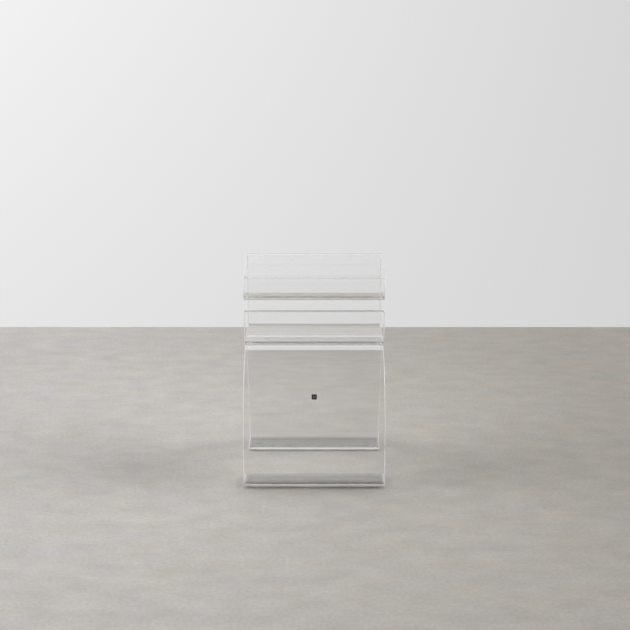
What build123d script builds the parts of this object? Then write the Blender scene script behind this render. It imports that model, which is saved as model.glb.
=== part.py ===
from build123d import *
import os
from math import cos, radians, sin, tan

# Clear acrylic magazine rack. Millimetres, +Z up.
# X runs across the width, the front faces -Y, and the origin is the centre of the footprint on the floor.
# Two thick sheets are heat-bent across the width and cemented together. The base sheet makes both feet,
# both legs and the crest between them. The body sheet makes the front panel, the floor of the pocket,
# the back, the sloping top and the rolled nose with its lip.
# Depths are measured back from the front of the rack, heights up from the floor, both to outer faces.

# ---- driving dimensions -------------------------------------------------------------------------
width = 300.0  # length of every bend
depth = 296.0  # front face of the front leg to the back of the rear heel
sheet = 8.0  # thickness of both sheets
edge_round = 2.5  # flame-polished edges

# base sheet, outer radii
foot_length = 68.0  # each foot turns inwards under the rack
heel_radius = 16.0
knee_height = 130.0  # the front leg is upright below this height and leans back above it
front_lean = 25.0
knee_radius = 174.0
front_shoulder_radius = 134.0
rear_lean = 20.0
rear_shoulder_radius = 25.0
crest_height = 280.0  # upper face of the crest, where the body is cemented on

# body sheet, outer radii
front_panel = 94.0
panel_height = 368.0  # free upper edge of the front panel
back_panel = 275.0
panel_radius = 45.0  # the bend from the front panel to the pocket floor
pocket_radius = 14.0  # the bend from the pocket floor to the back
back_height = 464.5  # where the faces of the back and the top would meet
back_radius = 34.0
nose_front = 90.0
nose_height = 437.0  # the top slopes down to here
nose_radius = 26.0
lip_height = 387.0  # underside of the lip
lip_end = 138.0

# badge on the front leg
badge_size = 11.0
badge_thickness = 0.8
badge_corner = 1.0
badge_height = 197.0
mark_length = 6.0
mark_width = 1.6
mark_spacing = 3.4
mark_depth = 0.3

# bumpers under the feet
bumper_height = 2.0
bumper_diameter = 10.0
bumper_chamfer = 0.4
bumper_inset_x = 22.0
bumper_inset_y = 40.0

# ---- positions that follow ----------------------------------------------------------------------
shoulder_front = (crest_height - knee_height) * tan(radians(front_lean))
heel_turn = radians(90.0 + rear_lean)
rear_heel = depth - heel_radius + heel_radius * tan(heel_turn / 2)
shoulder_rear = rear_heel - (crest_height - bumper_height) * tan(radians(rear_lean))
badge_depth = (badge_height - knee_height) * tan(radians(front_lean))

os.makedirs("parts", exist_ok=True)


def at(distance, z):
    """A point in the side view, this far behind the front of the rack and this high."""
    return (distance - depth / 2, z)


# ---- base sheet: foot, front leg, crest, rear leg and foot ----------------------------------------
with BuildPart() as base_sheet:
    with BuildSketch(Plane.YZ):
        with BuildLine():
            FilletPolyline(
                at(foot_length, bumper_height),
                at(0, bumper_height),
                at(0, knee_height),
                at(shoulder_front, crest_height),
                at(shoulder_rear, crest_height),
                at(rear_heel, bumper_height),
                at(depth - foot_length, bumper_height),
                radius=[heel_radius, knee_radius, front_shoulder_radius, rear_shoulder_radius, heel_radius],
            )
            offset(amount=sheet, side=Side.RIGHT)
        make_face()
    extrude(amount=width / 2, both=True)
    cut_ends = base_sheet.faces().filter_by(lambda face: abs(face.area - sheet * width) < 1)
    fillet(base_sheet.faces().filter_by(Axis.X).edges() + cut_ends.edges(), edge_round)
base_sheet.part.label = "base_sheet"
export_step(base_sheet.part, "parts/base_sheet.step")

# ---- body sheet: front panel, pocket floor, back, top, nose and lip -------------------------------
with BuildPart() as body_sheet:
    with BuildSketch(Plane.YZ):
        with BuildLine():
            FilletPolyline(
                at(front_panel, panel_height),
                at(front_panel, crest_height),
                at(back_panel, crest_height),
                at(back_panel, back_height),
                at(nose_front, nose_height),
                at(nose_front, lip_height),
                at(lip_end, lip_height),
                radius=[panel_radius, pocket_radius, back_radius, nose_radius, nose_radius],
            )
            offset(amount=sheet, side=Side.RIGHT)
        make_face()
    extrude(amount=width / 2, both=True)
    cut_ends = body_sheet.faces().filter_by(lambda face: abs(face.area - sheet * width) < 1)
    fillet(body_sheet.faces().filter_by(Axis.X).edges() + cut_ends.edges(), edge_round)
body_sheet.part.label = "body_sheet"
export_step(body_sheet.part, "parts/body_sheet.step")

# ---- badge: a small dark plate cemented to the face of the front leg ------------------------------
badge_plane = Plane(
    origin=(0, badge_depth - depth / 2, badge_height),
    x_dir=(1, 0, 0),
    z_dir=(0, -cos(radians(front_lean)), sin(radians(front_lean))),
)
with BuildPart() as badge:
    with BuildSketch(badge_plane):
        RectangleRounded(badge_size, badge_size, badge_corner)
    extrude(amount=badge_thickness)
    with BuildSketch(badge_plane.offset(badge_thickness)):
        with GridLocations(mark_spacing, 0, 2, 1):
            SlotOverall(mark_length, mark_width, rotation=90)
    extrude(amount=-mark_depth, mode=Mode.SUBTRACT)
badge.part.label = "badge"
export_step(badge.part, "parts/badge.step")

# ---- bumpers: four clear rubber discs under the feet ----------------------------------------------
bumper_x = width / 2 - bumper_inset_x
bumper_y = depth / 2 - bumper_inset_y
bumper_places = {
    "bumper_front_left": (-bumper_x, -bumper_y),
    "bumper_front_right": (bumper_x, -bumper_y),
    "bumper_rear_left": (-bumper_x, bumper_y),
    "bumper_rear_right": (bumper_x, bumper_y),
}
for name, place in bumper_places.items():
    with BuildPart() as bumper:
        with BuildSketch(Plane.XY):
            with Locations(place):
                Circle(bumper_diameter / 2)
        extrude(amount=bumper_height)
        chamfer(bumper.edges().group_by(Axis.Z)[0], bumper_chamfer)
    bumper.part.label = name
    export_step(bumper.part, f"parts/{name}.step")
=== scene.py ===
import math

import bmesh
import bpy
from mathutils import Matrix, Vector


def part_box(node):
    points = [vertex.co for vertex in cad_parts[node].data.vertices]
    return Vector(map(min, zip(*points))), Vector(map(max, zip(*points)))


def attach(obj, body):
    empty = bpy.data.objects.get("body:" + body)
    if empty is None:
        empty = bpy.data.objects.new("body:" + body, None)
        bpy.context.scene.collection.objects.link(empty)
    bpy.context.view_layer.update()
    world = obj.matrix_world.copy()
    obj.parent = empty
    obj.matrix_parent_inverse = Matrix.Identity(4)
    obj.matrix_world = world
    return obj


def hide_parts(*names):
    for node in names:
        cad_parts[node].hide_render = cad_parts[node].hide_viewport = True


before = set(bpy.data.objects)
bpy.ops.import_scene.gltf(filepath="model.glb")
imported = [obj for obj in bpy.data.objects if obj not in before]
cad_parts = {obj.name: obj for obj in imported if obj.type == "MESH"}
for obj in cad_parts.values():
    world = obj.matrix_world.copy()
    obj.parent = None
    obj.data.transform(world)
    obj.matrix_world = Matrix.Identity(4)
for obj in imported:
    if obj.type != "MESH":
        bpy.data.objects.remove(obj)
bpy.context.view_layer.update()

# ---- sizes in metres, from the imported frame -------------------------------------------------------
base_low, base_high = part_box("base_sheet")
body_low, body_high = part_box("body_sheet")
FRONT = base_low.y
BACK = base_high.y
FLOOR_GAP = base_low.z
CREST = base_high.z
BODY_BACK = body_high.y
NOSE_FRONT = body_low.y

# both sheets
SHEET = 0.008
EDGE_ROUND = 0.0025  # polished edges
EDGE_STEPS = 5  # faces across each rounded edge
ARC_STEP = math.radians(1.6)  # bends are divided this finely
SEAM = 0.00004  # gap between touching faces: the cement film, and the base on its bumpers
BOND_MARGIN = 0.0005  # the cemented strip stops this far short of the bends
STRIP_AREA = 0.001  # only the strip itself is larger than this, not the slivers beside it
EDGE_SLOPE = 0.25  # faces turned further than this towards a side belong to its cut edge
SAME_LEVEL = 1e-6
SAME_PLACE = 1e-5

# base sheet, outer faces
FOOT_LENGTH = 0.068
HEEL_RADIUS = 0.016
KNEE_HEIGHT = 0.130
FRONT_LEAN = math.radians(25.0)
KNEE_RADIUS = 0.174
FRONT_SHOULDER_RADIUS = 0.134
REAR_LEAN = math.radians(20.0)
REAR_SHOULDER_RADIUS = 0.025

# body sheet, outer faces
PANEL_FRONT = FRONT + 0.094
PANEL_TOP = 0.368
BACK_HEIGHT = 0.4645
PANEL_RADIUS = 0.045
POCKET_RADIUS = 0.014
BACK_RADIUS = 0.034
NOSE_HEIGHT = 0.437
NOSE_RADIUS = 0.026
LIP_HEIGHT = 0.387
LIP_END = FRONT + 0.138

# marks on the badge
MARK_ASIDE = 0.0017
MARK_WIDTH = 0.0016
MARK_LENGTH = 0.0054
MARK_HEIGHT = 0.1973

# camera
CAMERA_BACK = 2.600
CAMERA_HEIGHT = 1.099
CAMERA_ASIDE = 0.0017
CAMERA_PITCH = math.radians(15.4)
CAMERA_LENS = 74.97
CAMERA_SENSOR = 36.0
CAMERA_REACH = 50.0
FOOT_LINE = FRONT + 0.008

# floor
FLOOR_END = FOOT_LINE + 1.251
FLOOR_REACH = 9.0
FLOOR_SPAN = 0.75  # distance to either side where the colour stops changing
# painted light: the floor colour runs from bright on the left, where the light comes from, to darker on the
# right
FLOOR_LEFT = (0.639, 0.616, 0.590, 1)
FLOOR_RIGHT = (0.441, 0.411, 0.375, 1)
STAIN_WARM = (1.02, 1.0, 0.97, 1)
STAIN_COOL = (0.982, 1.0, 1.028, 1)
LIGHT_POOL_CENTRE = (-0.12, 0.1, 0.0)  # painted light: a pool of light drawn into the floor colour, brightest around this point
LIGHT_POOL_GAIN = 1.15
LIGHT_POOL_INNER = 0.2
LIGHT_POOL_OUTER = 0.95
PAINTED_FEET_SHADE = 0.86  # painted shade: brightness of the floor where the feet stand, against the rest

# room: light coming from a direction (x, y, z)
WALL_LEVEL = 0.79
WALL_FALL = -0.484  # change with x: darker to the right
WALL_RISE = 0.23  # change with z
WALL_TWIST = -0.8  # change with x and z together: the left wall is brighter higher up
ROOM_DIMMEST = 0.5
ROOM_BRIGHTEST = 1.0
ROOM_BEHIND = 0.5  # share that is left behind the camera
ROOM_ABOVE = 0.38  # share that is left overhead
SCREEN_LEFT = 12.0  # pale screens at both sides, added to the room
SCREEN_RIGHT = 16.0
SCREEN_NEAR = 0.72  # a screen starts where x reaches this, and is full at SCREEN_FAR
SCREEN_FAR = 0.92
SCREEN_LOW = 0.35  # a screen starts where z reaches this, and is full SCREEN_FADE higher
SCREEN_FADE = 0.15

# light paths: rays run along inside the sheets for many reflections
BOUNCES = 256
CLEAR_BOUNCES = 24

# the Mix node's colour sockets, which come after its number and vector ones
MIX_SHARE, MIX_FIRST, MIX_SECOND, MIX_RESULT = 0, 6, 7, 2
ACRYLIC_IOR = 1.49
RUBBER_IOR = 1.46


# ---- bent sheets ----------------------------------------------------------------------------------
def bent_path(corners, radii, stops=()):
    """Stations (point, direction) along straight runs joined by tangent arcs, in the side view (y, z).

    stops are depths (y) at which a run parallel to the floor gets a station of its own.
    """
    corners = [Vector(c) for c in corners]
    stations = [(corners[0], (corners[1] - corners[0]).normalized())]
    for before, corner, after, radius in zip(corners, corners[1:], corners[2:], radii):
        into = (corner - before).normalized()
        out = (after - corner).normalized()
        turn = math.atan2(into.x * out.y - into.y * out.x, into.dot(out))
        reach = radius * math.tan(abs(turn) / 2)
        start = corner - into * reach
        side = Vector((-into.y, into.x)) * math.copysign(1, turn)
        centre = start + side * radius
        steps = max(2, math.ceil(abs(turn) / ARC_STEP))
        for i in range(steps + 1):
            angle = turn * i / steps
            cos, sin = math.cos(angle), math.sin(angle)
            spoke = Vector((-side.x * cos + side.y * sin, -side.x * sin - side.y * cos))
            heading = Vector((into.x * cos - into.y * sin, into.x * sin + into.y * cos))
            stations.append((centre + spoke * radius, heading))
    stations.append((corners[-1], (corners[-1] - corners[-2]).normalized()))
    return with_stops(stations, stops)


def with_stops(stations, stops):
    """Adds a station at each stop on the straight run that crosses it at constant height."""
    result = [stations[0]]
    for (a, heading_a), (b, heading_b) in zip(stations, stations[1:]):
        level = abs(a.y - b.y) < SAME_LEVEL and abs(heading_a.y) < SAME_LEVEL
        low = min(a.x, b.x) + SAME_PLACE
        high = max(a.x, b.x) - SAME_PLACE
        inside = [stop for stop in stops if level and low < stop < high]
        for stop in sorted(inside, reverse=b.x < a.x):
            result.append((Vector((stop, a.y)), heading_a.copy()))
        result.append((b, heading_b))
    return result


def outline(stations, inward, inset):
    """The closed side view of the sheet, drawn in by inset, as points with their normals.

    Outer face first, then the far end, the inner face back, and the near end.
    inward is +1 if the sheet's thickness lies to the left of the path, and -1 if to the right.
    """
    corner = EDGE_ROUND * 1.05 - inset
    thin = SHEET / 2 - inset
    middles = []
    for index, (point, heading) in enumerate(stations):
        left = Vector((-heading.y, heading.x)) * inward
        centre = point + left * SHEET / 2
        if index == 0:
            centre = centre + heading * (inset + corner)
        if index == len(stations) - 1:
            centre = centre - heading * (inset + corner)
        middles.append((centre, -left))
    ring = [(centre + normal * thin, normal) for centre, normal in middles]
    ring += end_cap(middles[-1], stations[-1][1], thin, corner)
    ring += [(centre - normal * thin, -normal) for centre, normal in reversed(middles)]
    ring += reversed(end_cap(middles[0], -stations[0][1], thin, corner))
    return ring


def end_cap(middle, out, thin, corner):
    """The two rounded corners of a free end, from the outer face to the inner one."""
    centre, normal = middle
    points = []
    for sign in (1, -1):
        hub = centre + normal * sign * (thin - corner)
        for i in range(EDGE_STEPS + 1):
            share = i / EDGE_STEPS if sign == 1 else 1 - i / EDGE_STEPS
            angle = share * math.pi / 2
            direction = normal * sign * math.cos(angle) + out * math.sin(angle)
            points.append((hub + direction * corner, direction))
    return points[1:-1]


def edge_layers(low_x, high_x):
    """Cuts across the sheet as (x, inset, tilt): a rounded edge at low_x, then one at high_x."""
    layers = []
    for i in range(EDGE_STEPS + 1):
        angle = math.pi / 2 * (1 - i / EDGE_STEPS)
        x = low_x + EDGE_ROUND * (1 - math.sin(angle))
        layers.append((x, EDGE_ROUND * (1 - math.cos(angle)), -angle))
    for i in range(EDGE_STEPS + 1):
        angle = math.pi / 2 * i / EDGE_STEPS
        x = high_x - EDGE_ROUND * (1 - math.sin(angle))
        layers.append((x, EDGE_ROUND * (1 - math.cos(angle)), angle))
    return layers


def side_faces(start, stations_count, count):
    """Faces that fill one side of the sheet: a quad for each step of the path, and its two ends."""
    last = 2 * stations_count + (count - 2 * stations_count) // 2 - 1
    faces = []
    for i in range(stations_count - 1):
        faces.append((start + i, start + i + 1, start + last - i - 1, start + last - i))
    near_end = [i % count for i in range(last, count + 1)]
    far_end = range(stations_count - 1, last - stations_count + 2)
    faces.append([start + i for i in near_end])
    faces.append([start + i for i in far_end])
    return faces


def sheet_mesh(name, stations, inward, low_x, high_x):
    """One bent sheet with rounded edges and exact normals."""
    layers = edge_layers(low_x, high_x)
    vertices, normals, faces = [], [], []
    for x, inset, tilt in layers:
        flat = math.cos(tilt)
        for point, normal in outline(stations, inward, inset):
            vertices.append((x, point.x, point.y))
            normals.append((math.sin(tilt), normal.x * flat, normal.y * flat))
    count = len(vertices) // len(layers)
    for layer in range(len(layers) - 1):
        for i in range(count):
            a = layer * count + i
            b = layer * count + (i + 1) % count
            faces.append((a, b, b + count, a + count))
    for start in (0, (len(layers) - 1) * count):
        faces += side_faces(start, len(stations), count)
    mesh = bpy.data.meshes.new(name)
    mesh.from_pydata(vertices, [], faces)
    mesh.validate()
    flip_outwards(mesh)
    mesh.shade_smooth()
    mesh.normals_split_custom_set_from_vertices(normals)
    sheet = bpy.data.objects.new(name, mesh)
    bpy.context.scene.collection.objects.link(sheet)
    return sheet


def flip_outwards(mesh):
    """Turns every face to point out of the sheet."""
    work = bmesh.new()
    work.from_mesh(mesh)
    bmesh.ops.recalc_face_normals(work, faces=work.faces)
    work.to_mesh(mesh)
    work.free()


shoulder_front = FRONT + (CREST - KNEE_HEIGHT) * math.tan(FRONT_LEAN)
heel_turn = math.pi / 2 + REAR_LEAN
rear_heel = BACK - HEEL_RADIUS + HEEL_RADIUS * math.tan(heel_turn / 2)
shoulder_rear = rear_heel - (CREST - FLOOR_GAP) * math.tan(REAR_LEAN)
crest_front = shoulder_front + FRONT_SHOULDER_RADIUS * math.tan((math.pi / 2 - FRONT_LEAN) / 2)
crest_back = shoulder_rear - REAR_SHOULDER_RADIUS * math.tan((math.pi / 2 - REAR_LEAN) / 2)
bond_front = max(PANEL_FRONT + PANEL_RADIUS, crest_front) + BOND_MARGIN
bond_back = crest_back - BOND_MARGIN

crest_z = CREST - SEAM
foot_z = FLOOR_GAP + SEAM
rear_end = BACK - FOOT_LENGTH
base_path = bent_path(
    [
        (FRONT + FOOT_LENGTH, foot_z),
        (FRONT, foot_z),
        (FRONT, KNEE_HEIGHT),
        (shoulder_front, crest_z),
        (shoulder_rear, crest_z),
        (rear_heel, foot_z),
        (rear_end, foot_z),
    ],
    [HEEL_RADIUS, KNEE_RADIUS, FRONT_SHOULDER_RADIUS, REAR_SHOULDER_RADIUS, HEEL_RADIUS],
    (bond_front, bond_back),
)
body_path = bent_path(
    [
        (PANEL_FRONT, PANEL_TOP),
        (PANEL_FRONT, CREST),
        (BODY_BACK, CREST),
        (BODY_BACK, BACK_HEIGHT),
        (NOSE_FRONT, NOSE_HEIGHT),
        (NOSE_FRONT, LIP_HEIGHT),
        (LIP_END, LIP_HEIGHT),
    ],
    [PANEL_RADIUS, POCKET_RADIUS, BACK_RADIUS, NOSE_RADIUS, NOSE_RADIUS],
    (bond_front, bond_back),
)
base = sheet_mesh("base_sheet_clear", base_path, -1, base_low.x, base_high.x)
body = sheet_mesh("body_sheet_clear", body_path, 1, body_low.x, body_high.x)


# ---- material nodes -------------------------------------------------------------------------------
def new_material(name):
    material = bpy.data.materials.new(name)
    material.use_nodes = True
    nodes = material.node_tree.nodes
    return material, nodes, material.node_tree.links, nodes["Principled BSDF"]


def object_place(nodes):
    return nodes.new("ShaderNodeTexCoord").outputs["Object"]


def separated(nodes, links, vector):
    axes = nodes.new("ShaderNodeSeparateXYZ")
    links.new(vector, axes.inputs[0])
    return axes.outputs


def noise(nodes, links, coordinates, scale, detail=3.0, stretch=(1, 1, 1)):
    mapping = nodes.new("ShaderNodeMapping")
    mapping.inputs["Scale"].default_value = stretch
    links.new(coordinates, mapping.inputs["Vector"])
    texture = nodes.new("ShaderNodeTexNoise")
    texture.inputs["Scale"].default_value = scale
    texture.inputs["Detail"].default_value = detail
    links.new(mapping.outputs["Vector"], texture.inputs["Vector"])
    return texture.outputs["Fac"]


def ranged(nodes, links, value, low, high, from_low=0.3, from_high=0.7):
    """low where value is from_low or less, high where it is from_high or more, and even between."""
    change = nodes.new("ShaderNodeMapRange")
    change.inputs["From Min"].default_value = from_low
    change.inputs["From Max"].default_value = from_high
    change.inputs["To Min"].default_value = low
    change.inputs["To Max"].default_value = high
    links.new(value, change.inputs["Value"])
    return change.outputs["Result"]


def calculate(nodes, links, operation, *values):
    """One step of arithmetic on numbers and node outputs."""
    step = nodes.new("ShaderNodeMath")
    step.operation = operation
    for socket, value in zip(step.inputs, values):
        if isinstance(value, (int, float)):
            socket.default_value = value
        else:
            links.new(value, socket)
    return step.outputs[0]


def near(nodes, links, value, centre, reach, fold=False):
    """1 where value is within reach of centre (of plus or minus centre, if folded), and 0 elsewhere."""
    if fold:
        value = calculate(nodes, links, "ABSOLUTE", value)
    return calculate(nodes, links, "COMPARE", value, centre, reach)


def mixed(nodes, links, share, first, second):
    """The colour that lies share of the way from first to second, which may be node outputs."""
    mix = nodes.new("ShaderNodeMix")
    mix.data_type = "RGBA"
    links.new(share, mix.inputs[MIX_SHARE])
    for socket, colour in ((mix.inputs[MIX_FIRST], first), (mix.inputs[MIX_SECOND], second)):
        if isinstance(colour, tuple):
            socket.default_value = colour
        else:
            links.new(colour, socket)
    return mix.outputs[MIX_RESULT]


# ---- acrylic --------------------------------------------------------------------------------------
def acrylic_material():
    """Clear cast acrylic: faintly wavy from the oven, with fine handling marks."""
    material, nodes, links, shader = new_material("clear_acrylic")
    place = object_place(nodes)
    shader.inputs["Base Color"].default_value = (0.995, 0.997, 0.997, 1)
    shader.inputs["Transmission Weight"].default_value = 1.0
    shader.inputs["IOR"].default_value = ACRYLIC_IOR
    marks = noise(nodes, links, place, 900.0, 4.0, (0.08, 1.0, 1.0))
    links.new(ranged(nodes, links, marks, 0.0, 0.05, 0.55, 0.75), shader.inputs["Roughness"])
    waves = noise(nodes, links, place, 22.0, 1.0, (0.5, 1.0, 1.0))
    bump = nodes.new("ShaderNodeBump")
    bump.inputs["Strength"].default_value = 0.25
    bump.inputs["Distance"].default_value = 0.0002
    links.new(waves, bump.inputs["Height"])
    links.new(bump.outputs["Normal"], shader.inputs["Normal"])
    return material


def bond_material():
    """The cemented strip, which light passes without bending."""
    material, nodes, links, shader = new_material("cement_film")
    nodes.remove(shader)
    clear = nodes.new("ShaderNodeBsdfTransparent")
    specks = noise(nodes, links, object_place(nodes), 700.0, 2.0)
    share = ranged(nodes, links, specks, 0.0, 1.0, 0.66, 0.74)
    tint = mixed(nodes, links, share, (0.99, 0.99, 0.985, 1), (0.9, 0.9, 0.9, 1))
    links.new(tint, clear.inputs["Color"])
    links.new(clear.outputs[0], nodes["Material Output"].inputs["Surface"])
    return material


def edge_material():
    """The sawn side edges, flame-polished but still scattering the light that the sheet carries to them."""
    material, nodes, links, shader = new_material("polished_edge")
    shader.inputs["Base Color"].default_value = (0.97, 0.975, 0.975, 1)
    shader.inputs["IOR"].default_value = ACRYLIC_IOR
    saw = noise(nodes, links, object_place(nodes), 260.0, 3.0)
    links.new(ranged(nodes, links, saw, 0.08, 0.22), shader.inputs["Roughness"])
    links.new(ranged(nodes, links, saw, 0.05, 0.2, 0.2, 0.8), shader.inputs["Transmission Weight"])
    return material


def end_material():
    """The rounded upper corner of the rear foot's free end, darkened: painted shade standing in for the
    shade under the foot.
    """
    material, nodes, links, shader = new_material("shaded_end")
    # painted shade: a darker base colour than the clear acrylic
    shader.inputs["Base Color"].default_value = (0.55, 0.54, 0.52, 1)
    shader.inputs["Transmission Weight"].default_value = 1.0
    shader.inputs["IOR"].default_value = ACRYLIC_IOR
    saw = noise(nodes, links, object_place(nodes), 400.0, 3.0)
    links.new(ranged(nodes, links, saw, 0.05, 0.2), shader.inputs["Roughness"])
    return material


def material_index(face, up):
    """Which of the sheet's materials a face has: 0 acrylic, 1 cement, 2 side edge, 3 shaded end.

    up is 1 if the sheet's cemented face looks up, and -1 if it looks down.
    """
    centre, normal = face.center, face.normal
    at_seam = abs(centre.z - CREST) < SEAM * 1.5 and normal.z * up > 0.99
    if at_seam and bond_front < centre.y < bond_back and face.area > STRIP_AREA:
        return 1
    if abs(normal.x) > EDGE_SLOPE:
        return 2
    # the upper corner of the rear foot's end gets the painted shade
    at_rear_end = abs(centre.y - rear_end) < EDGE_ROUND and normal.y < -0.3
    if at_rear_end and centre.z > foot_z + SHEET / 2:
        return 3
    return 0


sheet_materials = [acrylic_material(), bond_material(), edge_material(), end_material()]
for sheet, up in ((base, 1), (body, -1)):
    for material in sheet_materials:
        sheet.data.materials.append(material)
    for face in sheet.data.polygons:
        face.material_index = material_index(face, up)

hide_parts("base_sheet")
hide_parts("body_sheet")
for sheet in (base, body):
    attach(sheet, "root")


# ---- badge and bumpers ----------------------------------------------------------------------------
def badge_material():
    """Dark satin plastic with two pale filled marks."""
    material, nodes, links, shader = new_material("badge_dark")
    place = object_place(nodes)
    grain = noise(nodes, links, place, 3000.0, 3.0, (1, 0.1, 0.1))
    plastic = mixed(nodes, links, grain, (0.012, 0.012, 0.013, 1), (0.03, 0.03, 0.032, 1))
    axes = separated(nodes, links, place)
    across = near(nodes, links, axes["X"], MARK_ASIDE, MARK_WIDTH / 2, fold=True)
    along = near(nodes, links, axes["Z"], MARK_HEIGHT, MARK_LENGTH / 2)
    marked = calculate(nodes, links, "MULTIPLY", across, along)
    colour = mixed(nodes, links, marked, plastic, (0.3, 0.295, 0.29, 1))
    links.new(colour, shader.inputs["Base Color"])
    links.new(ranged(nodes, links, grain, 0.28, 0.42), shader.inputs["Roughness"])
    return material


def rubber_material():
    """Clear polyurethane, a little cloudy."""
    material, nodes, links, shader = new_material("clear_rubber")
    shader.inputs["Base Color"].default_value = (0.82, 0.82, 0.81, 1)
    shader.inputs["Transmission Weight"].default_value = 0.45
    shader.inputs["IOR"].default_value = RUBBER_IOR
    cloud = noise(nodes, links, object_place(nodes), 1500.0, 2.0)
    links.new(ranged(nodes, links, cloud, 0.05, 0.18), shader.inputs["Roughness"])
    return material


def dress(node, material):
    node.data.materials.clear()
    node.data.materials.append(material)


dress(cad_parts["badge"], badge_material())
rubber = rubber_material()
for name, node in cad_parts.items():
    if name.startswith("bumper"):
        dress(node, rubber)


# ---- room -----------------------------------------------------------------------------------------
def floor_shade(nodes, links, place):
    """How bright the floor is at each point: its mottle and grit, times painted shade under the feet and a
    painted pool of light.
    """
    axes = separated(nodes, links, place)
    mottle = noise(nodes, links, place, 22.0, 8.0, (0.6, 1.0, 1.0))
    grit = noise(nodes, links, place, 130.0, 4.0)
    mottled = ranged(nodes, links, mottle, 0.935, 1.065)
    gritty = ranged(nodes, links, grit, 0.94, 1.06)
    grain = calculate(nodes, links, "MULTIPLY", mottled, gritty)
    # painted shade: the floor under each foot is drawn darker
    across = near(nodes, links, axes["X"], 0.0, base_high.x)
    along = near(nodes, links, axes["Y"], BACK - FOOT_LENGTH / 2, FOOT_LENGTH / 2, fold=True)
    feet = calculate(nodes, links, "MULTIPLY", across, along)
    under = ranged(nodes, links, feet, 1.0, PAINTED_FEET_SHADE, 0.0, 1.0)
    shade = calculate(nodes, links, "MULTIPLY", under, grain)
    # painted light: the floor is drawn brighter near one point, fading with distance
    apart = nodes.new("ShaderNodeVectorMath")
    apart.operation = "DISTANCE"
    links.new(place, apart.inputs[0])
    apart.inputs[1].default_value = LIGHT_POOL_CENTRE
    painted_light_pool = ranged(nodes, links, apart.outputs["Value"], LIGHT_POOL_GAIN, 1.0, LIGHT_POOL_INNER, LIGHT_POOL_OUTER)
    return calculate(nodes, links, "MULTIPLY", painted_light_pool, shade)


def floor_material():
    """Pale sealed concrete with a faint mottle, with painted light in its colour: brighter towards the
    window side.
    """
    material, nodes, links, shader = new_material("floor_pale")
    place = object_place(nodes)
    x = separated(nodes, links, place)["X"]
    # painted light: the colour goes from the bright left value to the darker right one across the floor
    across = ranged(nodes, links, x, 0.0, 1.0, -FLOOR_SPAN, FLOOR_SPAN)
    painted_side_light_colour = mixed(nodes, links, across, FLOOR_LEFT, FLOOR_RIGHT)
    stains = ranged(nodes, links, noise(nodes, links, place, 15.0, 8.0, (0.6, 1.0, 1.0)), 0.0, 1.0)
    stained = nodes.new("ShaderNodeVectorMath")
    stained.operation = "MULTIPLY"
    links.new(painted_side_light_colour, stained.inputs[0])
    links.new(mixed(nodes, links, stains, STAIN_WARM, STAIN_COOL), stained.inputs[1])
    shaded = nodes.new("ShaderNodeVectorMath")
    shaded.operation = "SCALE"
    links.new(stained.outputs[0], shaded.inputs[0])
    links.new(floor_shade(nodes, links, place), shaded.inputs["Scale"])
    links.new(shaded.outputs[0], shader.inputs["Base Color"])
    shader.inputs["Roughness"].default_value = 0.75
    shader.inputs["Specular IOR Level"].default_value = 0.15
    return material


floor_mesh = bpy.data.meshes.new("floor")
floor_mesh.from_pydata(
    [
        (-FLOOR_REACH, -FLOOR_REACH, 0),
        (FLOOR_REACH, -FLOOR_REACH, 0),
        (FLOOR_REACH, FLOOR_END, 0),
        (-FLOOR_REACH, FLOOR_END, 0),
    ],
    [],
    [(0, 1, 2, 3)],
)
floor = bpy.data.objects.new("floor", floor_mesh)
bpy.context.scene.collection.objects.link(floor)
floor_mesh.materials.append(floor_material())


def room_light():
    """An even pale studio, brighter on the left, dimmer behind and overhead, with a screen at each side."""
    world = bpy.data.worlds.new("studio")
    world.use_nodes = True
    bpy.context.scene.world = world
    nodes, links = world.node_tree.nodes, world.node_tree.links
    axes = separated(nodes, links, nodes.new("ShaderNodeTexCoord").outputs["Generated"])
    x, y, z = axes["X"], axes["Y"], axes["Z"]

    def multiply(a, b):
        return calculate(nodes, links, "MULTIPLY", a, b)

    def add(a, b):
        return calculate(nodes, links, "ADD", a, b)

    tilt = add(multiply(x, WALL_TWIST), WALL_RISE)
    level = add(add(multiply(x, WALL_FALL), WALL_LEVEL), multiply(tilt, z))
    level = calculate(nodes, links, "MAXIMUM", level, ROOM_DIMMEST)
    level = calculate(nodes, links, "MINIMUM", level, ROOM_BRIGHTEST)
    behind = ranged(nodes, links, y, ROOM_BEHIND, 1.0, -0.5, 0.1)
    above = ranged(nodes, links, z, 1.0, ROOM_ABOVE, 0.35, 0.8)
    room = multiply(multiply(level, behind), above)
    left = ranged(nodes, links, x, SCREEN_LEFT, 0.0, -SCREEN_FAR, -SCREEN_NEAR)
    right = ranged(nodes, links, x, 0.0, SCREEN_RIGHT, SCREEN_NEAR, SCREEN_FAR)
    raised = ranged(nodes, links, z, 0.0, 1.0, SCREEN_LOW, SCREEN_LOW + SCREEN_FADE)
    screens = multiply(add(left, right), raised)
    links.new(add(room, screens), nodes["Background"].inputs["Strength"])
    nodes["Background"].inputs["Color"].default_value = (1, 1, 1, 1)


room_light()

# ---- camera ---------------------------------------------------------------------------------------
camera_data = bpy.data.cameras.new("camera")
camera_data.lens = CAMERA_LENS
camera_data.sensor_width = CAMERA_SENSOR
camera_data.clip_end = CAMERA_REACH
camera = bpy.data.objects.new("camera", camera_data)
camera.location = (CAMERA_ASIDE, FOOT_LINE - CAMERA_BACK, CAMERA_HEIGHT)
camera.rotation_euler = (math.pi / 2 - CAMERA_PITCH, 0, 0)
bpy.context.scene.collection.objects.link(camera)
bpy.context.scene.camera = camera

scene = bpy.context.scene
scene.view_settings.view_transform = "Standard"
scene.cycles.max_bounces = BOUNCES
scene.cycles.transmission_bounces = BOUNCES
scene.cycles.glossy_bounces = BOUNCES
scene.cycles.transparent_max_bounces = CLEAR_BOUNCES
